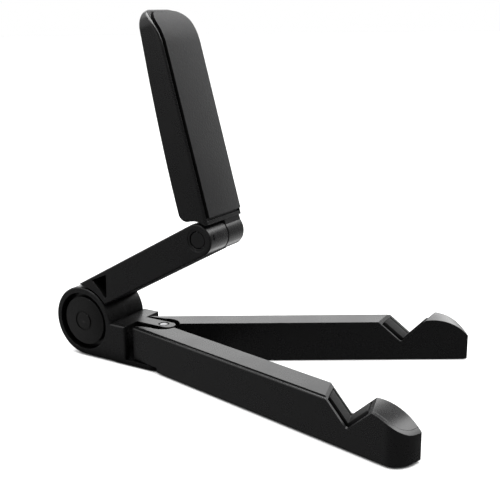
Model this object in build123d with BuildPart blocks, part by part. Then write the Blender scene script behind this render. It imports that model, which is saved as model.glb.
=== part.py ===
from build123d import *
import os
from math import asin, atan2, cos, degrees, hypot, radians, sin, sqrt

# Folding stand for a photo album or tablet.
# A hub block carries two legs on one upright pin and, on a cross bolt, an arm.
# A padded paddle is hinged to the arm's upper end.  Everything folds into one bar.
# Frame: origin on the table under the leg pin, +X towards the notches, +Z up.
# The near side is -Y.  All sizes are millimetres and degrees.

os.makedirs("parts", exist_ok=True)

# ---------------------------------------------------------------- pose as stored
near_swing = 12.0  # near leg, away from the centre plane
far_swing = 31.4  # far leg, at its open stop
arm_lift = 28.8  # arm above the table plane
paddle_lean = 15.3  # paddle front, backwards from upright

# ---------------------------------------------------------------- shared sizes
half_width = 12.65  # hub and arm, half of the folded legs' width
paddle_half = half_width + 0.7
wall = 1.8  # moulded walls
running = 0.05  # radial clearance of a pin in its hole
seat_gap = 0.1  # clearance round pieces that sit in a pocket
foot_proud = 0.5  # rubber feet stand below the mouldings
foot_seat = 0.8  # depth of a foot's pocket

# ---------------------------------------------------------------- legs
leg_width = 12.2
leg_height = 18.0
leg_reach = 138.9  # pin to nose
leg_rear = 7.4  # body behind the pin
leg_split = 0.15  # inner face to the centre plane when closed
leg_skin = 1.5  # outer cover
cover_step = 0.45  # cover's top below the body's
leg_edge = 0.75  # rounded outer edges
nose_round = 7.5  # length of the rounded nose in plan
nose_fullness = 0.745  # 0.707 would be an ellipse
nose_height = 11.2
dome_from_nose = 16.4
dome_centre = leg_reach - dome_from_nose  # highest point of the dome, from the pin
dome_rise = 0.7  # dome above the flat top
leg_void_start = 17.0
leg_void_margin = 3.0
peg_r = 1.4
peg_boss_r = 2.8
peg_length = 5.0
peg_spots = (26.0, 56.0, 86.0)

# notch for the album's edge
notch_from_nose = 30.7
notch_at = leg_reach - notch_from_nose
notch_depth = 9.7
notch_half_open = 10.5
notch_skew = 0.54  # forward shift per unit of width, so open legs line up
lining_seat = 1.2
lining_proud = 0.7
lining_rim = 1.1
lining_groove = 1.8  # beside the lining, towards the outer face
lining_short = 2.0  # bare slope above each end
notch_round = 1.2

# leg feet
foot_from_nose = 22.4
foot_start = leg_reach - foot_from_nose
foot_length = 12.0
foot_width = 6.0
foot_inset = 2.6
foot_corner = 2.0

# ---------------------------------------------------------------- leg pin
pin_r = 1.8
pin_head_r = 2.2
pin_head_t = 0.5
pin_head_gap = 0.3  # ring round the upper head, which sits in the tongue
pin_sink = 0.6
knuckle_r = 6.3
knuckle_gap = 0.3
recess_r = 7.3  # round recess in the legs' tops
rear_cut = 10.4  # inner end of the leg's rear face
washer_t = 0.4
washer_r = 4.5
plate_t = 2.0
plate_gap = 2.1
tongue_t = 1.5
tongue_half = 3.3
tongue_reach = 5.8
tongue_boss = 2.6

# ---------------------------------------------------------------- hub
hub_x = -37.5
ear_r = 16.4
hub_z = ear_r + 0.6
ear_gap = 0.5  # arm ear to the block's hollow face
heel_run = 6.0  # underside meets the ear's round
block_front = -12.9
block_back = -29.0
cavity_back = -19.0
lap = 0.6  # friction disc between the two ears
ear_edge = 0.8
dish_r = 13.7
dish_depth = 5.0
cap_r = 11.5
cap_side = 4.0  # top of the cap's side above the dish's floor
cap_sunk = 0.15  # cap's middle below the ear's face
cap_wall = 1.2
flange_t = 1.0
groove_r = 4.35
groove_w = 0.8
groove_deep = 0.6
axle_r = 2.5
axle_head_r = 4.5
axle_head_t = 2.8
axle_sink = 1.0
axle_nut_flats = 8.0
axle_nut_t = 2.7
axle_tail = 0.4
spring_t = 1.0
disc_r = 11.0
hub_foot_x = -21.5
hub_foot_length = 13.0
hub_foot_width = 19.0
hub_foot_disc_r = 5.0  # under the leg pin

# ---------------------------------------------------------------- arm
arm_under = 2.45  # lower face above the hub axis
arm_thick = 14.0
arm_reach = 80.9  # hub axis to upper hinge
arm_ear_r = 15.8
arm_arc_r = 17.0  # near root clears the near ear
root_tip = 7.4
root_undercut = 5.6  # how far the root's tip slants back under itself
pocket_depth = 8.0
pocket_corners = ((16.2, 15.2), (25.6, 14.3), (20.0, 5.0), (19.0, 5.2), (17.9, 9.8))
arm_void_start = 31.0
arm_void_end = 66.0
screw_r = 1.25
screw_head_r = 2.4
screw_head_t = 1.6
screw_boss_r = 3.0
arm_screw_spots = (36.0, 61.0)

# ---------------------------------------------------------------- upper hinge
knuckle_side = 0.5  # near knuckle's inner face, beyond the centre plane
hinge_lap = 0.6
arm_end_r = arm_thick / 2
arm_edge = 0.7
horn_reach = 75.0  # the far shell's lower corner stops short of the lug
lug_r = 7.1
lug_gap = 0.7
bolt_r = 2.0
bolt_head_r = 3.5
bolt_head_t = 2.2
bolt_nut_flats = 6.5
bolt_nut_t = 1.7
bolt_spring_t = 0.7
bolt_cap_r = 3.4
bolt_cap_gap = 0.45  # ring groove round the cap
bolt_cap_t = 1.2
bolt_ring_r = 4.9  # shallow round step about the cap
bolt_ring_sink = 0.25
bolt_cap_sink = 0.5
bolt_pocket = 4.2
# shallow slot across the front of the near knuckle
slot_from = 2.2
slot_to = 10.0
slot_low = 4.0
slot_high = 22.0
slot_deep = 0.35

# ---------------------------------------------------------------- paddle
shell_front = 7.45  # front rim from the hinge axis
# rear face: height above the hinge axis, distance out from it
shell_spine = (
    (8.2, -5.95),
    (20, -5.95),
    (40, -5.4),
    (52, -4.8),
    (65, -4.0),
    (77, -3.1),
    (88, -2.2),
    (97, -1.4),
)
paddle_top = 96.2
chin = 5.4  # lowest point of the front rim
knuckle_clear = 8.2  # hollow that turns round the arm's knuckle
heel_round = 4.0
shell_edge = 1.05
bend_from = 79.7  # the front is straight up to here, then bends back
bend_r = 21.8
tray_bend_r = 24.2
top_corner = 7.8
rim = 1.1
pad_gap = 0.4
pad_rise = 1.2  # pad above the shell's rim
pad_t = 1.9
carrier_t = 1.0
pad_bottom = 8.1
ledge = 1.6
void_low = 17.0
void_high = 84.0
web_back = -3.0
carrier_boss_r = 2.8
shell_boss_r = 3.4
paddle_screw_spots = (24.0, 72.0)
paddle_screw_length = 6.0

# ---------------------------------------------------------------- levels and planes
base_bottom = hub_z - ear_r
pin_bottom = base_bottom + foot_seat
plate_top = base_bottom + plate_t
leg_top = foot_proud + leg_height
tongue_under = leg_top - tongue_t
boss_under = tongue_under - tongue_boss
knuckle_h = (boss_under - plate_top - 3 * washer_t) / 2
low_from = plate_top + washer_t
low_to = low_from + knuckle_h
high_from = low_to + washer_t
high_to = high_from + knuckle_h

lift = radians(arm_lift)
lean = radians(paddle_lean)
arm_mid = arm_under + arm_thick / 2
arm_top = arm_under + arm_thick
arm_plane = Plane(origin=(hub_x, 0, hub_z), x_dir=(cos(lift), 0, sin(lift)), z_dir=(0, -1, 0))
hinge_at = arm_plane.from_local_coords((arm_reach, arm_mid, 0))
# local x of this plane points out of the paddle's front, local y up its length
paddle_plane = Plane(origin=hinge_at, x_dir=(cos(lean), 0, sin(lean)), z_dir=(0, -1, 0))


def cross_plane(centre, y):
    """Plane across the width at y; its normal points to the near side."""
    return Plane(origin=(centre.X, y, centre.Z), x_dir=(1, 0, 0), z_dir=(0, -1, 0))


hub_at = Vector(hub_x, 0, hub_z)


# ================================================================ hub base
# Near ear, hollow block, bottom plate round the pin and top plate with a tongue.
with BuildPart() as hub_base:
    with BuildSketch(Plane.XZ.offset(lap / 2)):
        with BuildLine():
            Polyline(
                (block_back, base_bottom),
                (block_front, base_bottom),
                (block_front, leg_top),
                (block_back, leg_top),
                close=True,
            )
        make_face()
        with Locations((hub_x, hub_z)):
            Circle(arm_ear_r + ear_gap, mode=Mode.SUBTRACT)
    extrude(amount=-(half_width + lap / 2))
    with BuildSketch(Plane.XZ.offset(lap / 2)):
        with BuildLine():
            Polyline(
                (hub_x, hub_z - ear_r),
                (hub_x + heel_run, base_bottom),
                (block_front, base_bottom),
                (block_front, leg_top),
                (hub_x, leg_top),
                close=True,
            )
        make_face()
        with Locations((hub_x, hub_z)):
            Circle(ear_r)
    extrude(amount=half_width - lap / 2)
    outer_edges = hub_base.edges().filter_by_position(Axis.Y, -half_width - 0.01, 0.01 - half_width)
    fillet(outer_edges, ear_edge)
    with BuildSketch(Plane.XY.offset(plate_top)):
        with Locations(((cavity_back + block_front) / 2, 0)):
            Rectangle(block_front - cavity_back, 2 * (half_width - wall))
    extrude(amount=tongue_under - plate_top, mode=Mode.SUBTRACT)
    with BuildSketch(Plane.XY.offset(base_bottom)):
        with Locations(((cavity_back) / 2, 0)):
            Rectangle(-cavity_back, 2 * half_width)
        Circle(half_width)
    extrude(amount=plate_t)
    with BuildSketch(Plane.XY.offset(tongue_under)):
        with Locations(((cavity_back + tongue_reach - tongue_half) / 2, 0)):
            Rectangle(tongue_reach - tongue_half - cavity_back, 2 * tongue_half)
        with Locations((tongue_reach - tongue_half, 0)):
            Circle(tongue_half)
    extrude(amount=tongue_t)
    with BuildSketch(Plane.XY.offset(boss_under)):
        Circle(tongue_half)
    extrude(amount=tongue_boss)
    with BuildSketch(Plane.XY.offset(base_bottom)):
        Circle(pin_r)
    extrude(amount=leg_top - base_bottom, mode=Mode.SUBTRACT)
    with BuildSketch(Plane.XY.offset(pin_bottom)):
        Circle(pin_head_r)
    extrude(amount=pin_head_t, mode=Mode.SUBTRACT)
    with BuildSketch(Plane.XY.offset(leg_top)):
        Circle(pin_head_r + pin_head_gap)
    extrude(amount=-pin_sink, mode=Mode.SUBTRACT)
    with BuildSketch(cross_plane(hub_at, -half_width)):
        Circle(dish_r)
    extrude(amount=-dish_depth, mode=Mode.SUBTRACT)
    with BuildSketch(cross_plane(hub_at, -half_width + dish_depth)):
        Circle(axle_head_r + seat_gap)
    extrude(amount=-axle_sink, mode=Mode.SUBTRACT)
    with BuildSketch(cross_plane(hub_at, -half_width)):
        Circle(axle_r)
    extrude(amount=-half_width, mode=Mode.SUBTRACT)
    with BuildSketch(Plane.XY.offset(base_bottom)):
        with Locations((hub_foot_x, 0)):
            RectangleRounded(hub_foot_length + seat_gap, hub_foot_width + seat_gap, foot_corner)
        Circle(hub_foot_disc_r + seat_gap)
    extrude(amount=foot_seat, mode=Mode.SUBTRACT)
hub_base.part.label = "hub_base"
export_step(hub_base.part, "parts/hub_base.step")

with BuildPart() as hub_foot_pad:
    with BuildSketch():
        with Locations((hub_foot_x, 0)):
            RectangleRounded(hub_foot_length, hub_foot_width, foot_corner)
        Circle(hub_foot_disc_r)
    extrude(amount=pin_bottom)
hub_foot_pad.part.label = "hub_foot_pad"
export_step(hub_foot_pad.part, "parts/hub_foot_pad.step")


# ================================================================ leg pin
with BuildPart() as leg_pivot_pin:
    head_seat = leg_top - pin_sink
    with BuildSketch(Plane.XY.offset(pin_bottom)):
        Circle(pin_r)
    extrude(amount=head_seat + pin_head_t - pin_bottom)
    with BuildSketch(Plane.XY.offset(pin_bottom)):
        Circle(pin_head_r)
    extrude(amount=pin_head_t)
    with BuildSketch(Plane.XY.offset(head_seat)):
        Circle(pin_head_r)
    extrude(amount=pin_head_t)
    fillet(leg_pivot_pin.edges().sort_by(Axis.Z)[-1], pin_head_t * 0.6)
leg_pivot_pin.part.label = "leg_pivot_pin"
export_step(leg_pivot_pin.part, "parts/leg_pivot_pin.step")

with BuildPart() as leg_pivot_washers:
    for level in (plate_top, low_to, high_to):
        with BuildSketch(Plane.XY.offset(level)):
            Circle(min(washer_r, tongue_half) if level == high_to else washer_r)
            Circle(pin_r + seat_gap, mode=Mode.SUBTRACT)
        extrude(amount=washer_t)
leg_pivot_washers.part.label = "leg_pivot_washers"
export_step(leg_pivot_washers.part, "parts/leg_pivot_washers.step")


# ================================================================ legs
# Leg frame: u along the leg from the pin, w outwards from the centre plane.
slope = atan2(notch_depth, notch_half_open)
notch_floor = leg_height - notch_depth
slope_length = hypot(notch_depth, notch_half_open)


def notch_point(along, rise, side):
    """Point on a slope of the notch: along it from the vertex, and off its face."""
    u = notch_at + side * (along * cos(slope) - rise * sin(slope))
    return u, notch_floor + along * sin(slope) + rise * cos(slope)


def notch_vertex(rise):
    return notch_at, notch_floor + rise / cos(slope)


def notch_band(along, low, high):
    """V-shaped band of the notch between two offsets from its faces."""
    return [
        notch_point(along, low, -1),
        notch_vertex(low),
        notch_point(along, low, 1),
        notch_point(along, high, 1),
        notch_vertex(high),
        notch_point(along, high, -1),
    ]


def build_leg(name, near, swing, knuckle):
    """Body, outer cover, notch lining and foot of one leg, placed at its swing."""
    turn = radians(swing)
    u_dir = Vector(cos(turn), -near * sin(turn), 0)
    side_dir = Vector(-near * sin(turn), -cos(turn), 0)
    out_dir = side_dir * near

    def side_plane(w):
        return Plane(origin=out_dir * w + Vector(0, 0, foot_proud), x_dir=u_dir, z_dir=side_dir)

    def plan_plane(z):
        return Plane(origin=(0, 0, z), x_dir=u_dir, z_dir=(0, 0, 1))

    def plan_point(u, w):
        return u, -near * w

    def plan(inset):
        """Outline seen from above, its outer side moved in by inset."""
        start = leg_reach - nose_round
        outer = leg_width - inset
        tip = leg_reach - inset
        waist = start + (tip - start) * nose_fullness
        with BuildSketch(plan_plane(0)) as outline:
            with BuildLine():
                Polyline(
                    plan_point(tip, leg_split),
                    plan_point(0, leg_split),
                    plan_point(0, recess_r),
                    plan_point(-leg_rear, rear_cut),
                    plan_point(-leg_rear, outer),
                    plan_point(start, outer),
                )
                Spline(
                    plan_point(start, outer),
                    plan_point(waist, outer * nose_fullness),
                    plan_point(tip, leg_split),
                    tangents=(plan_point(1, 0), plan_point(0, -1)),
                )
            make_face()
        return outline.sketch

    def profile():
        """Side outline: flat top, then the dome down to the nose."""
        crest = leg_height + dome_rise
        front = leg_reach - dome_centre
        drop = crest - nose_height
        radius = (front**2 + drop**2) / (2 * drop)
        start = dome_centre - sqrt(radius**2 - (radius - dome_rise) ** 2)
        with BuildSketch(side_plane(0)) as outline:
            with BuildLine():
                Polyline(
                    (start, leg_height),
                    (-leg_rear - 1, leg_height),
                    (-leg_rear - 1, 0),
                    (leg_reach, 0),
                    (leg_reach, nose_height),
                )
                ThreePointArc((leg_reach, nose_height), (dome_centre, crest), (start, leg_height))
            make_face()
        return outline.sketch

    def ring(r, low, high):
        with BuildSketch(plan_plane(low)) as circle:
            Circle(r)
        return extrude(circle.sketch, amount=high - low, mode=Mode.PRIVATE)

    def skewed(points, w_from, w_to, corner_r=0):
        """Prism across the leg that follows the notch's skew; its lowest corner may be round."""
        shift = [(u + notch_skew * w_from, z) for u, z in points]
        with BuildSketch(side_plane(w_from)) as section:
            with BuildLine():
                Polyline(*shift, close=True)
            make_face()
            if corner_r:
                fillet(section.vertices().sort_by(Axis.Y)[0], corner_r)
        run = (u_dir * notch_skew + out_dir) * (w_to - w_from)
        return extrude(section.sketch, amount=run.length, dir=run.normalized(), mode=Mode.PRIVATE)

    notch = [notch_point(slope_length * 1.3, 0, -1), notch_vertex(0), notch_point(slope_length * 1.3, 0, 1)]
    lining_along = slope_length - lining_short
    depth = leg_width - leg_skin
    outline = profile()
    foot_mid = (foot_start + foot_length / 2, foot_inset + foot_width / 2)

    def outer_edge(edge):
        """True for the long edges between the leg's outer side and its top or bottom.

        The dome keeps a crisp edge.
        """
        spot, run = edge @ 0.5, edge @ 1 - edge @ 0
        outside = spot.dot(out_dir) > 0.6 * leg_width and spot.dot(u_dir) > 0
        on_dome = spot.dot(u_dir) > notch_at and spot.Z > leg_height / 2
        return outside and not on_dome and hypot(run.X, run.Y) > leg_edge

    with BuildPart() as block:
        extrude(plan(0), amount=2 * leg_height)
        extrude(outline, amount=near * leg_width, mode=Mode.INTERSECT)
        fillet(block.edges().filter_by(outer_edge), leg_edge)

    with BuildPart() as body:
        add(block.part)
        extrude(plan(leg_skin), amount=2 * leg_height, mode=Mode.INTERSECT)
        add(ring(half_width + plate_gap, 0, low_from), mode=Mode.SUBTRACT)
        add(ring(knuckle_r, *knuckle))
        add(ring(recess_r, knuckle[1], 2 * leg_height), mode=Mode.SUBTRACT)
        if knuckle[0] > low_from:
            add(ring(knuckle_r + knuckle_gap, 0, knuckle[0]), mode=Mode.SUBTRACT)
        add(ring(pin_r + running, 0, 2 * leg_height), mode=Mode.SUBTRACT)
        with BuildSketch(side_plane(depth)):
            with BuildLine():
                Polyline(
                    (leg_void_start, wall + foot_seat),
                    (leg_reach - nose_round - wall, wall + foot_seat),
                    (leg_reach - nose_round - wall, notch_floor - leg_void_margin),
                    (notch_at - notch_half_open, notch_floor - leg_void_margin),
                    (notch_at - notch_half_open - leg_void_margin, leg_height - wall),
                    (leg_void_start, leg_height - wall),
                    close=True,
                )
            make_face()
        extrude(amount=-near * (depth - wall), mode=Mode.SUBTRACT)
        with BuildSketch(side_plane(wall)):
            with Locations([(u, leg_height / 2) for u in peg_spots]):
                Circle(peg_boss_r)
        extrude(amount=near * (depth - wall))
        with BuildSketch(side_plane(depth)):
            with Locations([(u, leg_height / 2) for u in peg_spots]):
                Circle(peg_r + running)
        extrude(amount=-near * (peg_length + seat_gap), mode=Mode.SUBTRACT)
        add(skewed(notch, -1, leg_width, notch_round), mode=Mode.SUBTRACT)
        seat = notch_band(lining_along + seat_gap, -lining_seat, 2 * lining_proud)
        add(skewed(seat, lining_rim, depth), mode=Mode.SUBTRACT)
        with BuildSketch(plan_plane(foot_proud)):
            with Locations(plan_point(*foot_mid)):
                RectangleRounded(foot_length + seat_gap, foot_width + seat_gap, foot_corner)
        extrude(amount=foot_seat, mode=Mode.SUBTRACT)
    body.part.label = name + "_leg_body"
    export_step(body.part, "parts/" + body.part.label + ".step")

    with BuildPart() as lowered:
        add(Pos(0, 0, -cover_step) * block.part)
        with BuildSketch(side_plane(0)):
            with BuildLine():
                Polyline(
                    (notch_at, 0),
                    (notch_at, leg_height + 2 * dome_rise),
                    (leg_reach, leg_height + 2 * dome_rise),
                    (leg_reach, 0),
                    close=True,
                )
            make_face()
        extrude(amount=near * leg_width)

    with BuildPart() as cover:
        add(block.part)
        add(lowered.part, mode=Mode.INTERSECT)
        extrude(plan(leg_skin), amount=2 * leg_height, mode=Mode.SUBTRACT)
        add(ring(half_width + plate_gap, 0, low_from), mode=Mode.SUBTRACT)
        add(skewed(notch, -1, leg_width + 1, notch_round), mode=Mode.SUBTRACT)
        with BuildSketch(side_plane(depth)):
            with Locations([(u, leg_height / 2) for u in peg_spots]):
                Circle(peg_r)
        extrude(amount=-near * peg_length)
    cover.part.label = name + "_leg_cover"
    export_step(cover.part, "parts/" + cover.part.label + ".step")

    band = notch_band(lining_along, -lining_seat, lining_proud)
    with BuildPart() as lining:
        add(skewed(band, lining_rim + lining_groove, depth - lining_groove))
    lining.part.label = name + "_notch_pad"
    export_step(lining.part, "parts/" + lining.part.label + ".step")

    with BuildPart() as foot:
        with BuildSketch(plan_plane(0)):
            with Locations(plan_point(*foot_mid)):
                RectangleRounded(foot_length, foot_width, foot_corner)
        extrude(amount=foot_proud + foot_seat)
    foot.part.label = name + "_leg_foot"
    export_step(foot.part, "parts/" + foot.part.label + ".step")


build_leg("near", 1, near_swing, (low_from, low_to))
build_leg("far", -1, far_swing, (high_from, high_to))


# ================================================================ round pieces on the cross axes
def export_axial(name, centre, steps):
    """Stack of round or hexagonal steps along the width: (y from, y to, outer, inner)."""
    with BuildPart() as piece:
        for start, end, outer, inner in steps:
            with BuildSketch(cross_plane(centre, start)):
                if isinstance(outer, tuple):
                    RegularPolygon(outer[0] / 2, 6, major_radius=False)
                else:
                    Circle(outer)
                if inner:
                    Circle(inner, mode=Mode.SUBTRACT)
            extrude(amount=start - end)
    piece.part.label = name
    export_step(piece.part, "parts/" + name + ".step")


def export_hub_cap(name, side):
    """Domed cover on a flange that fills the round dish of an ear, with a ring groove."""
    floor = half_width - dish_depth
    flange_r = dish_r - seat_gap
    inner_r = cap_r - cap_wall
    top = dish_depth - cap_sunk
    dome = (cap_r**2 + (top - cap_side) ** 2) / (2 * (top - cap_side))

    def dome_at(r, under):
        return r, top - dome + sqrt((dome - under) ** 2 - r**2)

    section_plane = Plane(origin=(hub_x, side * floor, hub_z), x_dir=(1, 0, 0), z_dir=(0, 0, side))
    with BuildPart() as cap:
        with BuildSketch(section_plane):
            with BuildLine():
                Line((0, top - cap_wall), (0, top))
                ThreePointArc((0, top), dome_at(cap_r / 2, 0), (cap_r, cap_side))
                Polyline(
                    (cap_r, cap_side),
                    (cap_r, flange_t),
                    (flange_r, flange_t),
                    (flange_r, 0),
                    (inner_r, 0),
                    dome_at(inner_r, cap_wall),
                )
                ThreePointArc(
                    dome_at(inner_r, cap_wall), dome_at(inner_r / 2, cap_wall), (0, top - cap_wall)
                )
            make_face()
        revolve(axis=Axis((hub_x, 0, hub_z), (0, 1, 0)))
        groove_floor = side * (floor + top - groove_deep)
        with BuildSketch(Plane(origin=(hub_x, groove_floor, hub_z), z_dir=(0, side, 0))):
            Circle(groove_r + groove_w / 2)
            Circle(groove_r - groove_w / 2, mode=Mode.SUBTRACT)
        extrude(amount=dish_depth, mode=Mode.SUBTRACT)
    cap.part.label = name
    export_step(cap.part, "parts/" + name + ".step")


export_hub_cap("hub_cap_near", -1)
export_hub_cap("hub_cap_far", 1)

axle_head_at = -half_width + dish_depth + axle_sink
axle_seat = half_width - dish_depth - axle_sink
nut_from = axle_seat + spring_t
export_axial(
    "hub_bolt",
    hub_at,
    [
        (axle_head_at - axle_head_t, axle_head_at, axle_head_r, 0),
        (axle_head_at, nut_from + axle_nut_t + axle_tail, axle_r, 0),
    ],
)
export_axial("hub_spring_washer", hub_at, [(axle_seat, nut_from, axle_head_r - 0.2, axle_r + seat_gap)])
export_axial("hub_nut", hub_at, [(nut_from, nut_from + axle_nut_t, (axle_nut_flats,), axle_r)])
export_axial("hub_friction_disc", hub_at, [(-lap / 2, lap / 2, disc_r, axle_r + seat_gap)])

lug_side = knuckle_side + hinge_lap
bolt_floor = half_width - bolt_pocket
export_axial(
    "hinge_bolt",
    hinge_at,
    [
        (-bolt_floor - bolt_head_t, -bolt_floor, bolt_head_r, 0),
        (-bolt_floor, bolt_floor + bolt_spring_t + bolt_nut_t, bolt_r, 0),
    ],
)
export_axial(
    "hinge_spring_washer",
    hinge_at,
    [(bolt_floor, bolt_floor + bolt_spring_t, bolt_head_r, bolt_r + seat_gap)],
)
export_axial(
    "hinge_nut",
    hinge_at,
    [(bolt_floor + bolt_spring_t, bolt_floor + bolt_spring_t + bolt_nut_t, (bolt_nut_flats,), bolt_r)],
)
export_axial("hinge_friction_disc", hinge_at, [(knuckle_side, lug_side, lug_r - 1, bolt_r + seat_gap)])
cap_out = half_width - bolt_cap_sink
export_axial("hinge_cap_near", hinge_at, [(-cap_out, -cap_out + bolt_cap_t, bolt_cap_r, 0)])
export_axial("hinge_cap_far", hinge_at, [(cap_out - bolt_cap_t, cap_out, bolt_cap_r, 0)])


# ================================================================ arm
# Half-lap joints at both ends: the far shell has the hub ear, the near one the knuckle.
def arm_side(y):
    """The arm's own plane, moved to y."""
    return arm_plane.offset(-y)


with BuildPart() as arm_near_shell:
    with BuildSketch(arm_side(0)):
        with BuildLine():
            Polyline(
                (0, arm_under),
                (arm_reach, arm_under),
                (arm_reach, arm_top),
                (root_tip, arm_top),
                (root_tip + root_undercut, arm_mid),
                (0, arm_mid),
                close=True,
            )
        make_face()
        Circle(arm_arc_r, mode=Mode.SUBTRACT)
        with Locations((arm_reach, arm_mid)):
            Circle(arm_end_r)
    extrude(amount=half_width)
    with BuildSketch(arm_side(knuckle_side)):
        with Locations((arm_reach, arm_mid)):
            Circle(arm_end_r)
    extrude(amount=knuckle_side)
    outer_edges = arm_near_shell.edges().filter_by_position(Axis.Y, -half_width - 0.01, 0.01 - half_width)
    fillet(outer_edges, arm_edge)
    with BuildSketch(arm_side(-half_width)):
        with BuildLine():
            Polyline(*pocket_corners, close=True)
        make_face()
    extrude(amount=-pocket_depth, mode=Mode.SUBTRACT)
    with BuildSketch(arm_side(0)):
        with Locations(((arm_void_start + arm_void_end) / 2, arm_mid)):
            Rectangle(arm_void_end - arm_void_start, arm_thick - 2 * wall)
    extrude(amount=half_width - wall, mode=Mode.SUBTRACT)
    with BuildSketch(arm_side(0)):
        with Locations([(s, arm_mid) for s in arm_screw_spots]):
            Circle(screw_boss_r)
    extrude(amount=half_width - wall)
    with BuildSketch(arm_side(0)):
        with Locations([(s, arm_mid) for s in arm_screw_spots]):
            Circle(screw_r)
    extrude(amount=half_width - 2 * wall, mode=Mode.SUBTRACT)
    with BuildSketch(cross_plane(hinge_at, -half_width)):
        Circle(bolt_ring_r)
    extrude(amount=-bolt_ring_sink, mode=Mode.SUBTRACT)
    with BuildSketch(cross_plane(hinge_at, -slot_from)):
        with BuildLine():
            sides = [Vector(cos(radians(turn)), sin(radians(turn))) for turn in (slot_low, slot_high)]
            inner, outer = arm_end_r - slot_deep, arm_end_r + slot_deep
            Polyline(sides[0] * inner, sides[0] * outer, sides[1] * outer, sides[1] * inner, close=True)
        make_face()
    extrude(amount=slot_to - slot_from, mode=Mode.SUBTRACT)
    with BuildSketch(cross_plane(hinge_at, -half_width)):
        Circle(bolt_cap_r + bolt_cap_gap)
    extrude(amount=-bolt_pocket, mode=Mode.SUBTRACT)
    with BuildSketch(cross_plane(hinge_at, -half_width)):
        Circle(bolt_r)
    extrude(amount=-2 * half_width, mode=Mode.SUBTRACT)
arm_near_shell.part.label = "arm_near_shell"
export_step(arm_near_shell.part, "parts/arm_near_shell.step")

with BuildPart() as arm_far_shell:
    with BuildSketch(arm_side(0)):
        with BuildLine():
            Polyline(
                (0, arm_under),
                (arm_reach, arm_under),
                (arm_reach, arm_top),
                (root_tip, arm_top),
                (0, arm_ear_r),
                close=True,
            )
        make_face()
        Circle(arm_ear_r)
        with Locations((arm_reach, arm_mid)):
            Circle(lug_r + lug_gap, mode=Mode.SUBTRACT)
    extrude(amount=-half_width)
    with BuildSketch(arm_side(0)):
        with BuildLine():
            Polyline(
                (horn_reach, 0),
                (arm_reach + arm_thick, 0),
                (arm_reach + arm_thick, arm_mid),
                (horn_reach, arm_mid),
                close=True,
            )
        make_face()
    extrude(amount=-half_width, mode=Mode.SUBTRACT)
    outer_edges = arm_far_shell.edges().filter_by_position(Axis.Y, half_width - 0.01, half_width + 0.01)
    fillet(outer_edges, arm_edge)
    with BuildSketch(arm_side(0)):
        Circle(arm_ear_r)
    extrude(amount=-lap / 2, mode=Mode.SUBTRACT)
    with BuildSketch(arm_side(0)):
        with Locations(((arm_void_start + arm_void_end) / 2, arm_mid)):
            Rectangle(arm_void_end - arm_void_start, arm_thick - 2 * wall)
    extrude(amount=-(half_width - wall), mode=Mode.SUBTRACT)
    with BuildSketch(arm_side(0)):
        with Locations([(s, arm_mid) for s in arm_screw_spots]):
            Circle(screw_boss_r)
    extrude(amount=-(half_width - wall))
    with BuildSketch(arm_side(half_width)):
        with Locations([(s, arm_mid) for s in arm_screw_spots]):
            Circle(screw_r + running)
    extrude(amount=half_width, mode=Mode.SUBTRACT)
    with BuildSketch(arm_side(half_width)):
        with Locations([(s, arm_mid) for s in arm_screw_spots]):
            Circle(screw_head_r + seat_gap)
    extrude(amount=screw_head_t, mode=Mode.SUBTRACT)
    with BuildSketch(cross_plane(hub_at, half_width)):
        Circle(dish_r)
    extrude(amount=dish_depth, mode=Mode.SUBTRACT)
    with BuildSketch(cross_plane(hub_at, half_width - dish_depth)):
        Circle(axle_head_r + axle_sink)
    extrude(amount=axle_sink, mode=Mode.SUBTRACT)
    with BuildSketch(cross_plane(hub_at, half_width)):
        Circle(axle_r + running)
    extrude(amount=half_width, mode=Mode.SUBTRACT)
arm_far_shell.part.label = "arm_far_shell"
export_step(arm_far_shell.part, "parts/arm_far_shell.step")

with BuildPart() as arm_screws:
    with BuildSketch(arm_side(half_width)):
        with Locations([(s, arm_mid) for s in arm_screw_spots]):
            Circle(screw_head_r)
    extrude(amount=screw_head_t)
    with BuildSketch(arm_side(half_width)):
        with Locations([(s, arm_mid) for s in arm_screw_spots]):
            Circle(screw_r)
    extrude(amount=2 * half_width - 3 * wall)
arm_screws.part.label = "arm_screws"
export_step(arm_screws.part, "parts/arm_screws.step")


# ================================================================ paddle
# Local x is out of the front, local y up the length, from the hinge axis.
paddle_bottom = shell_spine[0][0]
tray_floor = shell_front + pad_rise - pad_t - carrier_t
face_depth = 2 * arm_end_r  # comfortably deeper than the paddle


def paddle_side(y):
    """The paddle's own side plane, moved to y."""
    return paddle_plane.offset(-y)


def paddle_face(out):
    """Plane across the paddle, out from the hinge axis; local y is up its length."""
    origin = paddle_plane.from_local_coords((out, 0, 0))
    return Plane(origin=origin, x_dir=(0, 1, 0), z_dir=(cos(lean), 0, sin(lean)))


def back_at(height):
    """Rear face's distance from the hinge axis at a height."""
    for (low, low_out), (high, high_out) in zip(shell_spine, shell_spine[1:]):
        if low <= height <= high:
            return low_out + (high_out - low_out) * (height - low) / (high - low)


def front_blank(inset, low):
    """Block with the paddle's front outline: straight sides and rounded top corners."""
    side = paddle_half - inset
    top = paddle_top - inset
    with BuildSketch(paddle_face(-face_depth)) as outline:
        with BuildLine():
            Polyline((-side, low), (side, low), (side, top), (-side, top), close=True)
        make_face()
        fillet(outline.vertices().group_by(Axis.Y)[-1], top_corner - inset)
    return extrude(outline.sketch, amount=2 * face_depth, mode=Mode.PRIVATE)


def bent_edge(out, radius, low, high):
    """Front line of a layer: straight up to the bend, then an arc; returns its ends."""
    turn = asin((high - bend_from) / radius)
    Line((out, low), (out, bend_from))
    CenterArc((out - radius, bend_from), radius, 0, degrees(turn))
    return (out, low), (out - radius + radius * cos(turn), high)


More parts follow.
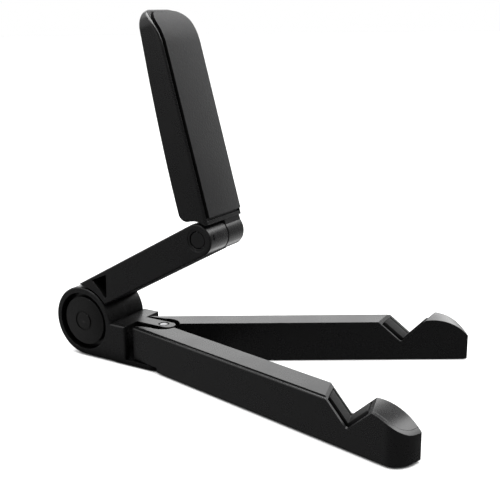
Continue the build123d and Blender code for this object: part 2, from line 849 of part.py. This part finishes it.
def front_layer(inner, inner_r, outer, outer_r, inset, low):
    """Layer that follows the bent front, between two distances from the hinge axis."""
    with BuildSketch(paddle_side(0)) as section:
        with BuildLine():
            inner_low, inner_high = bent_edge(inner, inner_r, low, paddle_top + 1)
            outer_low, outer_high = bent_edge(outer, outer_r, low, paddle_top + 1)
            Line(inner_low, outer_low)
            Line(inner_high, outer_high)
        make_face()
    layer = extrude(section.sketch, amount=paddle_half, both=True, mode=Mode.PRIVATE)
    return layer & front_blank(inset, low)


def front_at(height):
    rise = max(height - bend_from, 0)
    return shell_front - bend_r + sqrt(bend_r**2 - rise**2)


def on_front_rim(edge):
    """True for the edges all round the shell's front, its foot left out."""
    spot = paddle_plane.to_local_coords(edge @ 0.5)
    outside = abs(spot.Z) > paddle_half - top_corner or spot.Y > paddle_top - 0.1
    return outside and abs(spot.X - front_at(spot.Y)) < 0.05 and spot.Y > chin + 0.1


def on_back_rim(edge):
    """True for the edges all round the shell's rear face."""
    spot = paddle_plane.to_local_coords(edge @ 0.5)
    side_edge = abs(spot.Z) > paddle_half - top_corner and spot.Y > paddle_bottom + heel_round
    return (side_edge or spot.Y > paddle_top - 0.1) and spot.X < front_at(spot.Y) - 1


with BuildPart() as paddle_shell:
    with BuildSketch(paddle_side(0)) as outline:
        with BuildLine():
            front_low, front_high = bent_edge(shell_front, bend_r, chin, shell_spine[-1][0])
            spine = Spline(*[(out, height) for height, out in shell_spine])
            Line(spine @ 1, front_high)
            Polyline(spine @ 0, (0, paddle_bottom), (0, chin), front_low)
        make_face()
        fillet(outline.vertices().sort_by_distance(spine @ 0)[0], heel_round)
    extrude(amount=paddle_half, both=True)
    add(front_blank(0, 0), mode=Mode.INTERSECT)
    fillet(paddle_shell.edges().filter_by(on_front_rim), shell_edge)
    fillet(paddle_shell.edges().filter_by(on_back_rim), shell_edge)
    with BuildSketch(paddle_side(lug_side)):
        Circle(knuckle_clear)
    extrude(amount=2 * half_width, mode=Mode.SUBTRACT)
    with BuildSketch(paddle_side(lug_side)):
        Circle(lug_r)
        with BuildLine():
            Polyline(
                (web_back, 0),
                (shell_front - shell_edge, 0),
                (shell_front - shell_edge, paddle_bottom + wall),
                (web_back, paddle_bottom + wall),
                close=True,
            )
        make_face()
    extrude(amount=-(half_width - lug_side))
    add(
        front_layer(tray_floor, tray_bend_r, shell_front + pad_t, bend_r + pad_t, rim, pad_bottom - rim),
        mode=Mode.SUBTRACT,
    )
    with BuildSketch(paddle_side(0)):
        with BuildLine():
            Polyline(
                (back_at(void_low) + wall, void_low),
                (shell_front, void_low),
                (shell_front, void_high),
                (back_at(void_high) + wall, void_high),
                close=True,
            )
        make_face()
    extrude(amount=paddle_half - rim - ledge, both=True, mode=Mode.SUBTRACT)
    for spot in paddle_screw_spots:
        seat = back_at(spot) + 2 * wall
        with BuildSketch(paddle_face(back_at(spot) + wall / 2)):
            with Locations((0, spot)):
                Circle(shell_boss_r)
        extrude(amount=seat - back_at(spot) - wall / 2)
        with BuildSketch(paddle_face(-face_depth)):
            with Locations((0, spot)):
                Circle(screw_head_r + seat_gap)
        extrude(amount=face_depth + seat - wall, mode=Mode.SUBTRACT)
        with BuildSketch(paddle_face(seat)):
            with Locations((0, spot)):
                Circle(screw_r + running)
        extrude(amount=-wall, mode=Mode.SUBTRACT)
    with BuildSketch(cross_plane(hinge_at, half_width)):
        Circle(bolt_ring_r)
    extrude(amount=bolt_ring_sink, mode=Mode.SUBTRACT)
    with BuildSketch(cross_plane(hinge_at, half_width)):
        Circle(bolt_cap_r + bolt_cap_gap)
    extrude(amount=bolt_pocket, mode=Mode.SUBTRACT)
    with BuildSketch(cross_plane(hinge_at, half_width)):
        Circle(bolt_r + running)
    extrude(amount=half_width, mode=Mode.SUBTRACT)
paddle_shell.part.label = "paddle_shell"
export_step(paddle_shell.part, "parts/paddle_shell.step")

plate_front = tray_floor + carrier_t
plate_bend_r = tray_bend_r + carrier_t
with BuildPart() as paddle_plate:
    plate_low = pad_bottom - rim + seat_gap
    add(front_layer(tray_floor, tray_bend_r, plate_front, plate_bend_r, rim + seat_gap, plate_low))
    for spot in paddle_screw_spots:
        seat = back_at(spot) + 2 * wall
        with BuildSketch(paddle_face(seat)):
            with Locations((0, spot)):
                Circle(carrier_boss_r)
        extrude(amount=tray_floor - seat)
        with BuildSketch(paddle_face(seat)):
            with Locations((0, spot)):
                Circle(screw_r)
        extrude(amount=paddle_screw_length - wall, mode=Mode.SUBTRACT)
paddle_plate.part.label = "paddle_plate"
export_step(paddle_plate.part, "parts/paddle_plate.step")

with BuildPart() as paddle_pad:
    pad_front = shell_front + pad_rise
    add(front_layer(plate_front, plate_bend_r, pad_front, bend_r + pad_rise, rim + pad_gap, pad_bottom))
paddle_pad.part.label = "paddle_pad"
export_step(paddle_pad.part, "parts/paddle_pad.step")

with BuildPart() as paddle_screws:
    for spot in paddle_screw_spots:
        under_head = back_at(spot) + wall
        with BuildSketch(paddle_face(under_head)):
            with Locations((0, spot)):
                Circle(screw_head_r)
        extrude(amount=-screw_head_t)
        with BuildSketch(paddle_face(under_head)):
            with Locations((0, spot)):
                Circle(screw_r)
        extrude(amount=paddle_screw_length)
paddle_screws.part.label = "paddle_screws"
export_step(paddle_screws.part, "parts/paddle_screws.step")
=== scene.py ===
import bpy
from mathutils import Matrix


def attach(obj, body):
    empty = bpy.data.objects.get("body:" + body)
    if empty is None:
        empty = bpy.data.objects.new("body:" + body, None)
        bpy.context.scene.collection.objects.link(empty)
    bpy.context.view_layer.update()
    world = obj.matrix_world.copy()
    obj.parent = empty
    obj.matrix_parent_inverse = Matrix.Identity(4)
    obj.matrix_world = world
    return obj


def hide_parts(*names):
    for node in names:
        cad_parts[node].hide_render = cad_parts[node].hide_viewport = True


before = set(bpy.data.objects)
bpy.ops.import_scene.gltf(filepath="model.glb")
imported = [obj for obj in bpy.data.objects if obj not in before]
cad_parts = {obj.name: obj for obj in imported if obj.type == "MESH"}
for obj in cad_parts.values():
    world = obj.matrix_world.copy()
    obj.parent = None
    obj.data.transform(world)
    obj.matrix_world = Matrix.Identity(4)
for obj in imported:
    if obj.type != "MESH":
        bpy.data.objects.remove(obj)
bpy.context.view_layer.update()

from math import pi, radians

import bpy
from mathutils import Matrix, Vector

# ------------------------------------------------------------------ hub block
# The hub is one moulding of black ABS: the near ear, the hollow block and the
# plates that hold the leg pin.  Its mould is spark eroded, which leaves a fine
# even grain, and its corners rub a little brighter with use.
MM = 0.001


class Wire:
    """A shader socket; sums, differences and products of it add Math nodes."""

    def __init__(self, tree, socket=None):
        self.tree = tree
        self.socket = socket

    def node(self, kind, settings=None, sockets=None, output=0):
        """A node of that type, with its settings set first, then its sockets."""
        made = self.tree.nodes.new("ShaderNode" + kind)
        for key, value in (settings or {}).items():
            setattr(made, key, value)
        for key, value in (sockets or {}).items():
            if isinstance(value, Wire):
                self.tree.links.new(value.socket, made.inputs[key])
            else:
                made.inputs[key].default_value = value
        return Wire(self.tree, made.outputs[output] if made.outputs else None)

    def math(self, operation, *values):
        return self.node("Math", {"operation": operation}, dict(enumerate(values)))

    def __add__(self, other):
        return self.math("ADD", self, other)

    def __radd__(self, other):
        return self.math("ADD", other, self)

    def __sub__(self, other):
        return self.math("SUBTRACT", self, other)

    def __rsub__(self, other):
        return self.math("SUBTRACT", other, self)

    def __mul__(self, other):
        return self.math("MULTIPLY", self, other)

    def __rmul__(self, other):
        return self.math("MULTIPLY", other, self)


def rise(value, low, high):
    """0 below low and 1 above high, with a smooth rise between them."""
    stretch = {"Value": value, "From Min": low, "From Max": high}
    return value.node("MapRange", {"interpolation_type": "SMOOTHSTEP"}, stretch)


def dot(wire, first, second):
    return wire.node("VectorMath", {"operation": "DOT_PRODUCT"}, {0: first, 1: second}, "Value")


def noise(wire, place, cells_per_metre, detail):
    sockets = {"Vector": place, "Scale": cells_per_metre, "Detail": detail}
    return wire.node("TexNoise", sockets=sockets)


def tinted(colour, share=1.0, more=0.0):
    """The colour times a share, plus a little grey, with its alpha."""
    return (*(share * part + more for part in colour), 1)


def blend_colours(wire, amount, below, above):
    """The first colour where the amount is 0 and the second where it is 1."""
    sockets = {"Factor": amount, "A": below, "B": above}
    return wire.node("Mix", {"data_type": "RGBA"}, sockets, 2)


def closeness(wire, reach_mm, low, high):
    """1 deep in a seam or an inner corner and 0 on an open surface."""
    reach = {"Distance": reach_mm * MM}
    open_sky = wire.node("AmbientOcclusion", {"samples": 6}, reach, "AO")
    return 1 - rise(open_sky, low, high)


def blank_finish(name):
    """A new material and the wire that its nodes start from."""
    made = bpy.data.materials.new(name)
    made.use_nodes = True
    made.node_tree.nodes.clear()
    return made, Wire(made.node_tree)


def moulded_black(
    name,
    colour=(0.004, 0.004, 0.0042),
    roughness=0.28,
    grain_mm=0.35,
    grain_height_mm=0.008,
    edge_mm=0.25,
    specular=0.45,
    corner_mm=0,
):
    """Black moulded plastic with spark grain, softened edges and rubbed corners.

    Its seams get painted shade, and so do inner corners where corner_mm is given.
    """
    made, wire = blank_finish(name)
    place = wire.node("TexCoord", output="Object")
    rounded = wire.node("Bevel", {"samples": 6}, {"Radius": edge_mm * MM})
    flat = wire.node("NewGeometry", output="Normal")
    edge = rise(1 - dot(wire, rounded, flat), 0.01, 0.2)
    grain = noise(wire, place, 1 / (grain_mm * MM), 2)
    patches = noise(wire, place, 70, 4)
    scuffs = noise(wire, place, 900, 3)
    worn = edge * rise(scuffs, 0.42, 0.62)
    tone = blend_colours(wire, worn * 0.6, tinted(colour), tinted(colour, 3.2, 0.01))
    uneven = (patches - 0.5) * 0.16 + (grain - 0.5) * 0.1 - worn * 0.1
    bump = wire.node(
        "Bump",
        sockets={
            "Strength": 1.0,
            "Distance": grain_height_mm * MM,
            "Height": grain,
            "Normal": rounded,
        },
    )
    plastic = wire.node(
        "BsdfPrincipled",
        sockets={
            "Base Color": tone,
            "Roughness": roughness + uneven,
            "Normal": bump,
            "Specular IOR Level": specular,
        },
    )
    # Painted shade: a matte near-black plastic is mixed in deep in seams and, where corner_mm is
    # given, in inner corners.
    painted_shade_plastic = wire.node(
        "BsdfPrincipled",
        sockets={
            "Base Color": (0.001, 0.001, 0.001, 1),
            "Roughness": 0.9,
            "Specular IOR Level": 0.0,
        },
    )
    painted_shade_amount = closeness(wire, 1.2, 0.3, 0.75) * 0.85
    if corner_mm:
        painted_shade_amount = wire.math("MAXIMUM", painted_shade_amount, closeness(wire, corner_mm, 0.45, 0.93) * 0.9)
    shader = wire.node("MixShader", sockets={0: painted_shade_amount, 1: plastic, 2: painted_shade_plastic})
    wire.node("OutputMaterial", sockets={"Surface": shader})
    return made


def dress(node, finish):
    """Gives a CAD node its finish."""
    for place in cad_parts[node].material_slots:
        place.material = finish


# Besides its seams, the hub's inner corners, up to 10 mm from a wall, are darkened with painted
# shade.
hub_black = moulded_black("hub ABS", corner_mm=10)
dress("hub_base", hub_black)

# ------------------------------------------------------------------ hub caps
# Each face of the hub is closed by a press-in cap of black plastic, a shallow
# dome with a ring groove.  It is moulded in a polished cavity, so it keeps the
# gloss that the grained block lacks.
polished_black = moulded_black(
    "polished black caps",
    colour=(0.004, 0.004, 0.004),
    roughness=0.2,
    grain_mm=1.6,
    grain_height_mm=0.004,
    edge_mm=0.2,
    specular=0.5,
)
for node in ("hub_cap_near", "hub_cap_far"):
    dress(node, polished_black)

# ------------------------------------------------------------------ fixings
# The bolts, nuts, screws and spring washers are zinc-plated steel, and so is the
# leg pin.  Its riveted head shows on the hub's tongue, bright in the middle, with a
# dark ring of painted shade round it.  The discs between the ears are friction sheet.


def plated_steel(name, colour, bright_mm=0):
    """Plated steel, painted near black as shade further than bright_mm from the pin's axis if
    that is given.
    """
    made, wire = blank_finish(name)
    place = wire.node("TexCoord", output="Object")
    haze = noise(wire, place, 1 / (1.5 * MM), 5)
    specks = noise(wire, place, 5200, 1)
    tone = blend_colours(wire, rise(haze, 0.35, 0.7), tinted(colour), tinted(colour, 0.7))
    if bright_mm:
        level = wire.node("VectorMath", {"operation": "MULTIPLY"}, {0: place, 1: (1, 1, 0)})
        off_axis = wire.node("VectorMath", {"operation": "LENGTH"}, {0: level}, "Value")
        # Painted shade: beyond bright_mm from the axis the steel turns near black, a dark ring
        # round the bright head.
        ring_shade = rise(off_axis, (bright_mm - 0.15) * MM, (bright_mm + 0.15) * MM)
        tone = blend_colours(wire, ring_shade, tone, (0.004, 0.004, 0.004, 1))
    pitted = {"Strength": 0.4, "Distance": 0.01 * MM, "Height": specks}
    steel = wire.node(
        "BsdfPrincipled",
        sockets={
            "Base Color": tone,
            "Metallic": 1.0,
            "Roughness": 0.35 + (haze - 0.5) * 0.2,
            "Normal": wire.node("Bump", sockets=pitted),
        },
    )
    wire.node("OutputMaterial", sockets={"Surface": steel})
    return made


zinc = plated_steel("zinc plate", (0.55, 0.55, 0.56))
for node in (
    "hub_bolt",
    "hub_nut",
    "hub_spring_washer",
    "hinge_bolt",
    "hinge_nut",
    "hinge_spring_washer",
    "arm_screws",
    "paddle_screws",
):
    dress(node, zinc)
dress("leg_pivot_pin", plated_steel("riveted pin head", (0.42, 0.42, 0.43), bright_mm=1.65))

friction_black = moulded_black(
    "friction sheet",
    colour=(0.01, 0.01, 0.01),
    roughness=0.6,
    grain_mm=0.2,
    grain_height_mm=0.01,
    edge_mm=0.05,
    specular=0.4,
)
for node in ("hub_friction_disc", "hinge_friction_disc", "leg_pivot_washers"):
    dress(node, friction_black)

# ------------------------------------------------------------------ legs
# A leg is a hollow moulding closed by an outer cover, both of the hub's grained
# ABS.  The cover is a separate shot from the same kind of mould, held by pegs.
satin_black = moulded_black("satin black ABS")
for node in ("near_leg_body", "near_leg_cover", "far_leg_body", "far_leg_cover"):
    dress(node, satin_black)

# ------------------------------------------------------------------ notch linings
# The notch of each leg has a soft lining moulded over its two slopes, so that
# an album's edge neither slips nor gets marked.  Its edges are rounded.


def soft_rubber(name, colour, roughness, grain_mm, grain_height_mm, specular, sheen=0.0):
    """Soft black rubber with a fine skin and a little bloom."""
    made, wire = blank_finish(name)
    place = wire.node("TexCoord", output="Object")
    skin = noise(wire, place, 1 / (grain_mm * MM), 3)
    cell_sockets = {"Vector": place, "Scale": 0.7 / (grain_mm * MM)}
    cells = wire.node("TexVoronoi", sockets=cell_sockets, output="Distance")
    bloom = noise(wire, place, 55, 5)
    mottle = rise(bloom, 0.35, 0.7) * 0.5 + rise(skin, 0.3, 0.7) * 0.5
    bump = wire.node(
        "Bump",
        sockets={
            "Strength": 1.0,
            "Distance": grain_height_mm * MM,
            "Height": skin * 0.6 + cells * 0.4,
        },
    )
    rubber = wire.node(
        "BsdfPrincipled",
        sockets={
            "Base Color": blend_colours(wire, mottle, tinted(colour, 0.75), tinted(colour, 1.3)),
            "Roughness": roughness + (skin - 0.5) * 0.4,
            "Normal": bump,
            "Sheen Weight": sheen,
            "Sheen Roughness": 0.4,
            "Specular IOR Level": specular,
        },
    )
    wire.node("OutputMaterial", sockets={"Surface": rubber})
    return made


def soft_copy(name, node, round_mm, steps):
    """A welded copy of a CAD node with its corners rounded over."""
    bpy.ops.object.select_all(action="DESELECT")
    piece = bpy.data.objects.new(name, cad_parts[node].data.copy())
    bpy.context.scene.collection.objects.link(piece)
    bpy.context.view_layer.objects.active = piece
    piece.select_set(True)
    bpy.ops.object.mode_set(mode="EDIT")
    bpy.ops.mesh.select_all(action="SELECT")
    bpy.ops.mesh.remove_doubles(threshold=0.002 * MM)
    bpy.ops.mesh.dissolve_limited(angle_limit=radians(0.5))
    bpy.ops.object.mode_set(mode="OBJECT")
    sharp = radians(35)
    bevel = piece.modifiers.new("round over", "BEVEL")
    bevel.width = round_mm * MM
    bevel.segments = steps
    bevel.limit_method = "ANGLE"
    bevel.angle_limit = sharp
    bpy.ops.object.modifier_apply(modifier=bevel.name)
    bpy.ops.object.shade_smooth_by_angle(angle=sharp)
    return piece


def finish_piece(piece, finish, body, node):
    """Puts a soft piece on its body, in the CAD node's place."""
    piece.data.materials.clear()
    piece.data.materials.append(finish)
    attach(piece, body)
    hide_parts(node)


lining_rubber = soft_rubber(
    "lining rubber",
    colour=(0.007, 0.007, 0.007),
    roughness=0.55,
    grain_mm=0.5,
    grain_height_mm=0.05,
    specular=0.12,
)
for side in ("near", "far"):
    lining = soft_copy(f"{side}_notch_lining", f"{side}_notch_pad", 0.35, 3)
    finish_piece(lining, lining_rubber, f"{side}_leg", f"{side}_notch_pad")

# ------------------------------------------------------------------ feet
# Thin rubber pieces are pressed into pockets below the hub and below the end of
# each leg.  Their lower edges are rounded, and dust dulls them slightly.
foot_rubber = soft_rubber(
    "foot rubber",
    colour=(0.02, 0.02, 0.02),
    roughness=0.6,
    grain_mm=0.3,
    grain_height_mm=0.01,
    specular=0.35,
)
for name, node, body in (
    ("hub_foot", "hub_foot_pad", "base"),
    ("near_foot", "near_leg_foot", "near_leg"),
    ("far_foot", "far_leg_foot", "far_leg"),
):
    foot = soft_copy(name, node, 0.2, 2)
    finish_piece(foot, foot_rubber, body, node)

# ------------------------------------------------------------------ arm
# The arm is two shells screwed together from the far side, with the upper
# hinge's bolt hidden under two plain caps.  The far shell's ear closes the hub,
# so its inner corners get the same painted shade as the hub's.
dress("arm_far_shell", hub_black)
for node in ("arm_near_shell", "hinge_cap_near", "hinge_cap_far"):
    dress(node, satin_black)

# ------------------------------------------------------------------ paddle
# The paddle is a moulded shell with a raised soft pad on its front.  The pad is
# grained rubber on a stiff plate, with its front edge rounded, and its flanks
# are cut, not moulded, so they are rough; their near-black, dull look is painted shade.
for node in ("paddle_shell", "paddle_plate"):
    dress(node, satin_black)
pad_rubber = soft_rubber(
    "grained pad rubber",
    colour=(0.01, 0.01, 0.0104),
    roughness=0.62,
    grain_mm=0.6,
    grain_height_mm=0.12,
    specular=0.32,
    sheen=0.05,
)
shaded_flank_rubber = soft_rubber(
    "pad flank painted shade",
    colour=(0.002, 0.002, 0.002),
    roughness=0.8,
    grain_mm=0.28,
    grain_height_mm=0.03,
    specular=0.03,
)
pad = soft_copy("paddle_soft_pad", "paddle_pad", 0.15, 3)
finish_piece(pad, pad_rubber, "paddle", "paddle_pad")
# Painted shade: the pad's side faces get near-black rubber with almost no reflection, as if in
# their own shadow.
pad.data.materials.append(shaded_flank_rubber)
front = max(pad.data.polygons, key=lambda face: face.area).normal.copy()
for face in pad.data.polygons:
    if abs(face.normal.dot(front)) < 0.5:
        face.material_index = 1

# ------------------------------------------------------------------ table
# The stand is on a plain white table that glows, so that it stays white up to
# the stand; a painted contact shadow darkens it only where the two touch.
bpy.ops.object.select_all(action="DESELECT")
bpy.ops.mesh.primitive_plane_add(size=12, location=(0, 0, 0))
table = bpy.context.active_object
table.name = "table_top"
table_white, wire = blank_finish("white table")
# Painted shadow: the glow fades to black within a few millimetres of the stand.
painted_contact_shadow = closeness(wire, 4, 0.1, 0.8)
board = wire.node(
    "BsdfPrincipled",
    sockets={
        "Base Color": (0.25, 0.25, 0.25, 1),
        "Roughness": 0.9,
        "Emission Color": blend_colours(wire, painted_contact_shadow, (1, 1, 1, 1), (0, 0, 0, 1)),
        "Emission Strength": 0.9,
    },
)
wire.node("OutputMaterial", sockets={"Surface": board})
table.data.materials.append(table_white)
table.visible_glossy = False

# ------------------------------------------------------------------ backdrop
# A white backdrop stands all round, for the camera alone: it neither lights the
# stand nor shades it.
bpy.ops.object.select_all(action="DESELECT")
bpy.ops.mesh.primitive_uv_sphere_add(segments=48, ring_count=24, radius=6, location=(0, 0, 0))
backdrop = bpy.context.active_object
backdrop.name = "backdrop"
paper, wire = blank_finish("backdrop paper")
glowing = wire.node("Emission", sockets={"Color": (1, 1, 1, 1), "Strength": 1.0})
wire.node("OutputMaterial", sockets={"Surface": glowing})
backdrop.data.materials.append(paper)
backdrop.visible_diffuse = False
backdrop.visible_glossy = False
backdrop.visible_shadow = False
backdrop.visible_transmission = False

# ------------------------------------------------------------------ light
# The light is an even white studio's: a bright wall behind the stand, boxes and
# a lamp above it, less from the side of the viewer, and what the table throws
# back.  Bearings run clockwise, seen from above, from the middle of that wall.
heading = Matrix.Rotation(radians(32.1), 4, "Z")
studio = bpy.data.worlds.new("studio")
bpy.context.scene.world = studio
studio.use_nodes = True
studio.node_tree.nodes.clear()
wire = Wire(studio.node_tree)
direction = wire.node("TexCoord", output="Generated")
backwards = dot(wire, direction, heading @ Vector((0, 1, 0)))
rightwards = dot(wire, direction, heading @ Vector((1, 0, 0)))
upwards = dot(wire, direction, (0, 0, 1))
bearing = wire.math("ARCTAN2", rightwards, backwards) * (180 / pi)
raised = wire.math("ARCSINE", upwards) * (180 / pi)


def panel(left, right, low, high, soft, power):
    """A soft-edged light between two bearings and two heights, in degrees."""
    across = rise(bearing, left - soft, left + soft)
    across = across * (1 - rise(bearing, right - soft, right + soft))
    up = rise(raised, low - soft, low + soft)
    up = up * (1 - rise(raised, high - soft, high + soft))
    return across * up * power


glow = rise(raised, -60, -40) * (1 - rise(backwards, 0.1, 0.6)) * 0.07 + 0.01
for light in (
    panel(-35, 31, 0, 31, 6, 2.15),  # back wall
    panel(-75, -18, 38, 68, 6, 2.2),  # high box, back left
    panel(-140, -50, 3, 50, 8, 0.9),  # left wall
    panel(-168, -122, 0, 42, 10, 0.12),  # dim wall behind the viewer
    panel(-115, -60, -35, 0, 8, 0.12),  # light off the table, left
    panel(54, 104, 26, 52, 4, 6.5),  # lamp on the right
    panel(22, 62, -42, 22, 8, 1.1),  # light off the table, right
    panel(16, 38, -56, -34, 5, 2.0),  # light off the table, below
):
    glow = glow + light
background = wire.node("Background", sockets={"Color": (1, 1, 1, 1), "Strength": glow})
wire.node("OutputWorld", sockets={"Surface": background})

soft_box = bpy.data.lights.new("overhead", "AREA")
soft_box.shape = "RECTANGLE"
soft_box.size = 1.2
soft_box.size_y = 1.2
soft_box.energy = 34
overhead = bpy.data.objects.new("overhead", soft_box)
bpy.context.scene.collection.objects.link(overhead)
overhead.location = (0, 0.1, 1.1)
aim = Vector((0.03, 0, 0)) - overhead.location
overhead.rotation_euler = aim.to_track_quat("-Z", "Y").to_euler()

# ------------------------------------------------------------------ camera
# The camera stands a little above the table, off the near front corner.  It
# looks slightly down and is held a little askew.
look_down = Matrix.Rotation(pi / 2 - radians(15.08), 4, "X")
askew = Matrix.Rotation(radians(-0.67), 4, "Z")
lens = bpy.data.cameras.new("viewpoint")
lens.sensor_width = 36
lens.lens = 63.7
viewpoint = bpy.data.objects.new("viewpoint", lens)
bpy.context.scene.collection.objects.link(viewpoint)
stand = Matrix.Translation((0.2363, -0.3019, 0.15569))
viewpoint.matrix_world = stand @ heading @ look_down @ askew
bpy.context.scene.camera = viewpoint
bpy.context.scene.view_settings.view_transform = "Standard"
